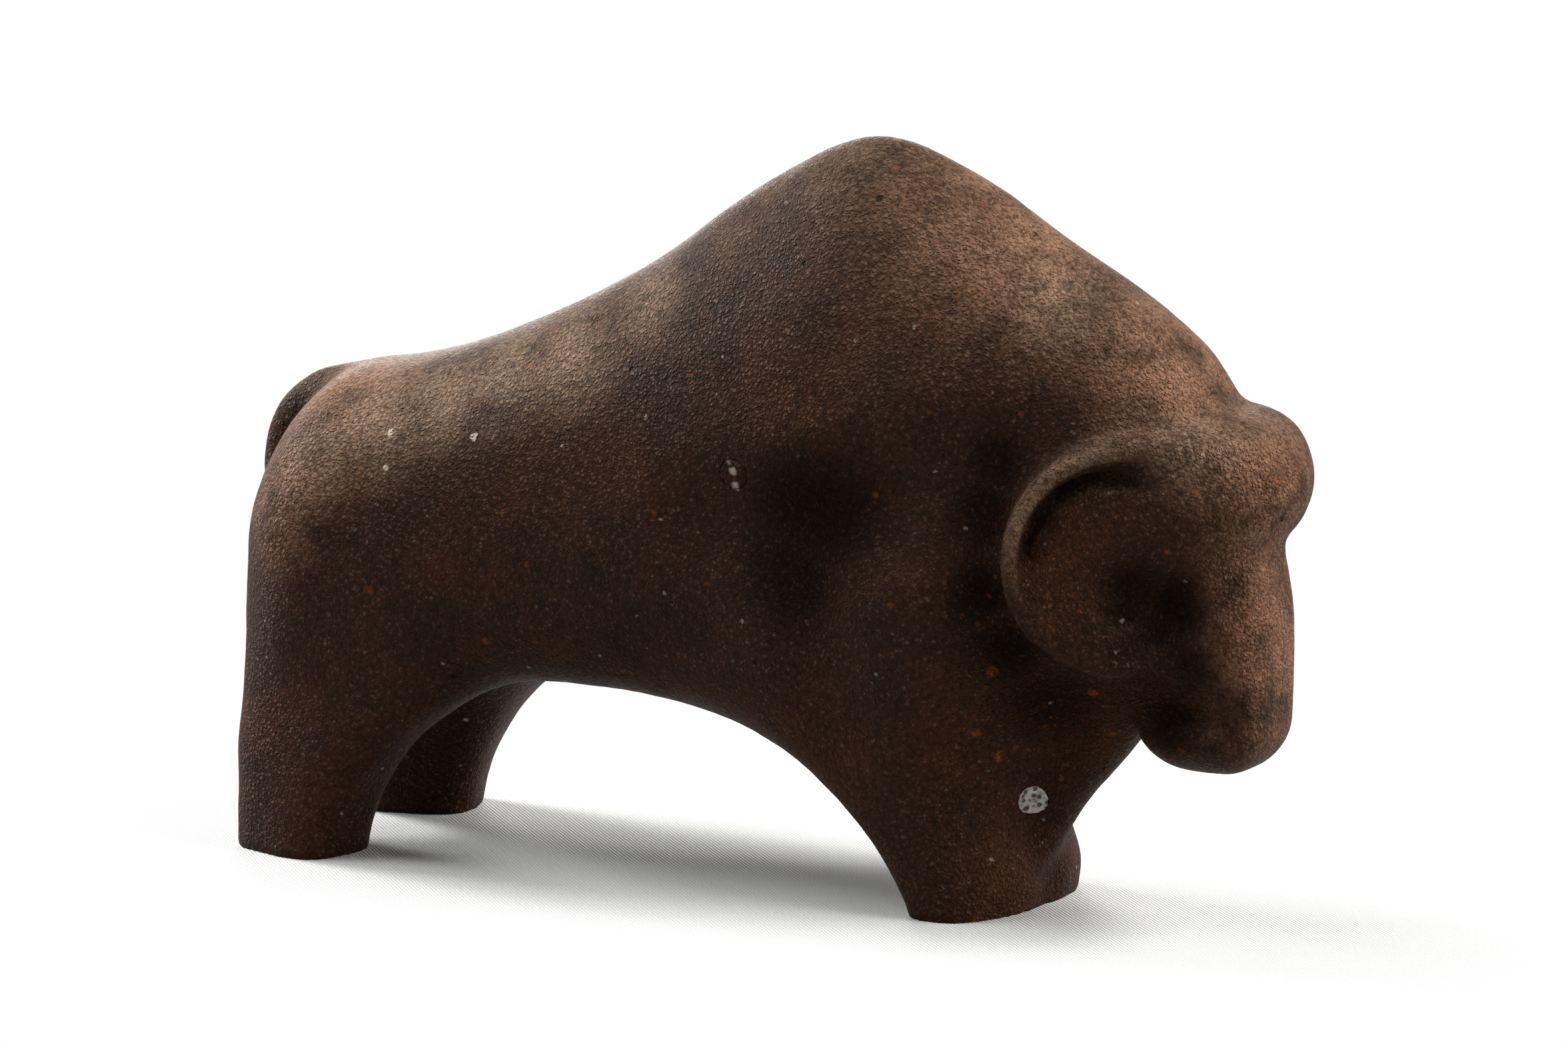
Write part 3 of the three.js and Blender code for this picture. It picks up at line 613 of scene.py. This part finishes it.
# A rod round the cheek, on the animal's left where side is 1 and on its right where it is -1
def curlRod(name, side, turns):
    lean = math.radians(curledHorn["turn"])
    x, y, z = curledHorn["centre"]
    ahead = Vector((math.cos(lean), -side * math.sin(lean), 0))
    outward = Vector((math.sin(lean), side * math.cos(lean), 0))
    bpy.ops.curve.primitive_nurbs_path_add(location=(0, 0, 0))
    rod = bpy.context.object
    rod.name = name
    rod.data.splines.clear()
    line = rod.data.splines.new("POLY")
    line.points.add(curledHorn["steps"])
    for i, point in enumerate(line.points):
        angle = turns[0][0] + (turns[-1][0] - turns[0][0]) * i / curledHorn["steps"]
        curl, height, thick = curlAt(turns, angle)
        bend = math.radians(angle)
        onCurl = ahead * curl * math.cos(bend) + Vector((0, 0, curl * math.sin(bend)))
        at = Vector((x, side * y, z)) + onCurl + outward * height
        point.co = (*(at * mm), 1.0)
        point.radius = thick
    rod.data.dimensions = "3D"
    rod.data.bevel_depth = mm
    rod.data.bevel_resolution = curledHorn["roundness"]
    rod.data.use_fill_caps = True
    pick(rod)
    bpy.ops.object.convert(target="MESH")
    return bpy.context.object


# Plugs: place on the casting's face, the way in, the hole's depth, the gap that shows round them, the
# voxel of their mesh and the record's slot
plugs = {
    "chest_plug_right": {
        "at": (56.86, -6.63, 20.38), "inward": (-0.5456, 0.8129, 0.2037),
        "radius": 2.75, "depth": 2.3, "seam": 0.1, "voxel": 0.3, "slot": "plug_grey",
    },
    "chest_plug_left": {
        "at": (56.89, 6.70, 20.40), "inward": (-0.5746, -0.7987, 0.1784),
        "radius": 2.75, "depth": 2.3, "seam": 0.1, "voxel": 0.3, "slot": "plug_grey",
    },
    "flank_plug_right": {
        "at": (9.47, -28.83, 77.54), "inward": (0.0046, 0.9857, 0.1685),
        "radius": 2.75, "depth": 3.3, "seam": 0.04, "voxel": 0.3, "slot": "bronze_patina",
    },
    "flank_plug_left": {
        "at": (9.47, 28.83, 77.54), "inward": (0.0046, -0.9857, 0.1685),
        "radius": 2.75, "depth": 3.3, "seam": 0.04, "voxel": 0.3, "slot": "bronze_patina",
    },
    "rump_plug": {
        "at": (-94.72, 0.0, 38.0), "inward": (0.9451, 0.0, 0.3268),
        "radius": 2.75, "depth": 3.3, "seam": 0.15, "voxel": 0.3, "slot": "bronze_patina",
    },
    "belly_core_plug": {
        "at": (-17.93, 0.0, 31.84), "inward": (0.1107, 0.0, 0.9939),
        "radius": 12.0, "depth": 3.1, "seam": 0.3, "voxel": 0.6, "slot": "bronze_patina",
    },
}
plugHole = {"sides": 48, "standsOut": 3.0}


def plugHoleCutter():
    cutters = []
    for spot in plugs.values():
        inward = Vector(spot["inward"]).normalized()
        top, bottom = -plugHole["standsOut"], spot["depth"]
        bpy.ops.mesh.primitive_cylinder_add(
            vertices=plugHole["sides"],
            radius=(spot["radius"] + spot["seam"]) * mm,
            depth=(bottom - top) * mm,
            location=(Vector(spot["at"]) + inward * (top + bottom) / 2) * mm,
            rotation=inward.to_track_quat("Z", "Y").to_euler())
        cutters.append(bpy.context.object)
    cutter = joinAll(cutters)
    bpy.ops.object.transform_apply(location=True, rotation=True, scale=True)
    return cutter


# Casting: the solid's skin made smooth, then roughened as the sand left it
casting = {
    "voxel": 0.66,
    "smoothing": {"factor": 0.5, "iterations": 3},
    "kept": 0.49,  # share of the faces kept by the thinning
    "swell": {"size": 17.0, "height": 0.5},
    "ripple": {"size": 5.0, "height": 0.16},
    "grain": {"size": 1.9, "height": 0.07},
}


# The plugs fill their holes here, so that the skin runs smoothly over them until the holes are cut again
def smoothSolid():
    skin = copyOfNodes(["body_casting"] + list(plugs), "casting_skin")
    bpy.ops.object.mode_set(mode="EDIT")
    bpy.ops.mesh.select_all(action="DESELECT")
    bpy.ops.mesh.edges_select_sharp(sharpness=sharpEdge)
    bpy.ops.transform.edge_crease(value=1.0)
    bpy.ops.object.mode_set(mode="OBJECT")
    applyModifier(skin, "SUBSURF", levels=1, render_levels=1)
    return skin


def cutSolesFlat(piece):
    pick(piece)
    bpy.ops.object.mode_set(mode="EDIT")
    bpy.ops.mesh.select_all(action="SELECT")
    bpy.ops.mesh.bisect(plane_co=(0, 0, 0), plane_no=(0, 0, 1), use_fill=True, clear_inner=True)
    bpy.ops.object.mode_set(mode="OBJECT")


def buildCasting():
    skin = smoothSolid()
    for side in (-1, 1):
        subtract(skin, curlRod("groove_cutter", side, curledHorn["groove"]))
    skin = joinAll([skin] + [curlRod("horn_rim", side, curledHorn["rim"]) for side in (-1, 1)])
    voxelRemesh(skin, casting["voxel"])
    skin = keepLargestIsland(skin)  # the hollow's own skin goes, because nothing shows it
    skin.name = "casting_skin"
    applyModifier(skin, "SMOOTH", **casting["smoothing"])
    for layer in ("swell", "ripple", "grain"):
        roughen(skin, layer, casting[layer])
    applyModifier(skin, "DECIMATE", ratio=casting["kept"])
    subtract(skin, plugHoleCutter())
    cutSolesFlat(skin)
    dress(skin, patinaMaterial)
    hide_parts("body_casting")
    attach(skin, "root")
    print("casting skin", sum(len(face.vertices) - 2 for face in skin.data.polygons), "triangles")


buildCasting()
print("casting built")


# Plug ends: pocked where bare, and only uneven where the patina covers them
plugEnd = {
    "smoothing": {"factor": 0.5, "iterations": 2},
    "plug_grey": {"size": 1.1, "height": 0.5, "material": pinEndMaterial},
    "bronze_patina": {"size": 1.7, "height": 0.2, "material": patinaMaterial},
}


def buildPlug(nodeName):
    slot = plugs[nodeName]["slot"]
    plug = copyOfNodes([nodeName], nodeName + "_end")
    voxelRemesh(plug, plugs[nodeName]["voxel"])
    applyModifier(plug, "SMOOTH", **plugEnd["smoothing"])
    roughen(plug, nodeName + "_pocks", plugEnd[slot])
    dress(plug, plugEnd[slot]["material"])
    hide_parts(nodeName)
    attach(plug, "root")


for plugName in plugs:
    buildPlug(plugName)
print("plugs built")


# Floor: white cloth, which shows its weave where the shadow lies
floor = {
    "size": 12000.0,
    "weave": 0.72,
    "sway": {"Distortion": 1.2, "Detail": 1.0, "Detail Scale": 1.5},
    "cloth": paint(250, 251, 251),
    "thread": paint(224, 227, 227),
    "bounce": paint(140, 138, 134),  # what the cloth sends back on to the object
    "bump": {"strength": 0.5, "distance": 0.2},
    "whiteAround": (15, 0, 0),
    "whiteEdges": (90, 160),
}


def buildFloor():
    bpy.ops.mesh.primitive_plane_add(size=floor["size"] * mm, location=(0, 0, 0))
    plane = bpy.context.object
    plane.name = "white_cloth"
    material, sheet = newMaterial("white_cloth")
    place = sheet.place()
    weave = sheet.add("ShaderNodeTexWave", {"wave_type": "BANDS", "bands_direction": "DIAGONAL"}, {
        "Vector": place, "Scale": 0.5 / (floor["weave"] * mm), **floor["sway"]})
    seen = sheet.seen()
    woven = sheet.mix(weave, floor["cloth"], floor["thread"])
    cloth = sheet.add("ShaderNodeBsdfPrincipled", {}, {
        "Base Color": sheet.mix(seen, floor["bounce"], woven),
        "Roughness": 1.0,
        "Specular IOR Level": 0.0,
        "Normal": sheet.bump(weave, **floor["bump"]),
    })
    white = sheet.add("ShaderNodeEmission", {}, {"Color": (1, 1, 1, 1), "Strength": 1.0})
    # away from the object the cloth is pure white, as in the photograph
    near, far = floor["whiteEdges"]
    past = sheet.ramp(sheet.distance(place, floor["whiteAround"]), near * mm, far * mm)
    sheet.surface(sheet.add("ShaderNodeMixShader", {}, {0: seen * past, 1: cloth, 2: white}))
    plane.data.materials.append(material)


buildFloor()
print("floor laid")


# Lamps, by their rise above the floor and their way round from the camera's right, seen from above
daylight = (1.0, 0.99, 0.98)
warmLight = (1.0, 0.97, 0.94)
lamps = {
    "behind_left_high": {"rise": 45, "round": 150, "size": 300, "watts": 5.4, "colour": daylight},
    "behind_left_low": {"rise": 20, "round": 140, "size": 300, "watts": 7.0, "colour": daylight},
    "behind_left_top": {"rise": 65, "round": 150, "size": 500, "watts": 1.4, "colour": daylight},
    "behind_low": {"rise": 12, "round": 95, "size": 500, "watts": 8.4, "colour": daylight},
    "left": {"rise": 30, "round": 175, "size": 400, "watts": 0.9, "colour": daylight},
    "left_top": {"rise": 60, "round": -165, "size": 500, "watts": 3.8, "colour": daylight},
    "right_front": {"rise": 35, "round": -30, "size": 500, "watts": 7.0, "colour": warmLight},
    "right_high": {"rise": 50, "round": 0, "size": 500, "watts": 6.2, "colour": warmLight},
    "right_low": {"rise": 15, "round": 0, "size": 500, "watts": 3.2, "colour": warmLight},
}
lampStand = {"aim": (0, 0, 60), "distance": 1100}


def placeLamps():
    turn = math.radians(camera["turn"])
    right = Vector((math.cos(turn), math.sin(turn), 0))
    back = Vector((-math.sin(turn), math.cos(turn), 0))
    for name, lamp in lamps.items():
        rise, around = math.radians(lamp["rise"]), math.radians(lamp["round"])
        level = right * math.cos(around) + back * math.sin(around)
        toLamp = level * math.cos(rise) + Vector((0, 0, math.sin(rise)))
        bpy.ops.object.light_add(
            type="AREA",
            location=(Vector(lampStand["aim"]) + toLamp * lampStand["distance"]) * mm,
            rotation=toLamp.to_track_quat("Z", "Y").to_euler())
        light = bpy.context.object
        light.name = name
        light.data.shape = "DISK"
        light.data.size = lamp["size"] * mm
        light.data.energy = lamp["watts"]
        light.data.color = lamp["colour"]


placeLamps()
print("lamps placed")


# World: a white backdrop that gives hardly any light
backdrop = {"colour": (1, 1, 1, 1), "seen": 1.0, "light": 0.02}


def setWorld():
    world = bpy.data.worlds.new("studio")
    bpy.context.scene.world = world
    world.use_nodes = True
    sheet = Sheet(world.node_tree)
    dim = sheet.add("ShaderNodeBackground", {}, {"Color": backdrop["colour"], "Strength": backdrop["light"]})
    white = sheet.add("ShaderNodeBackground", {}, {"Color": backdrop["colour"], "Strength": backdrop["seen"]})
    shader = sheet.add("ShaderNodeMixShader", {}, {0: sheet.seen(), 1: dim, 2: white})
    sheet.add("ShaderNodeOutputWorld", {}, {0: shader})


setWorld()
bpy.context.scene.view_settings.view_transform = "Standard"
print("world set")

clearSelection()
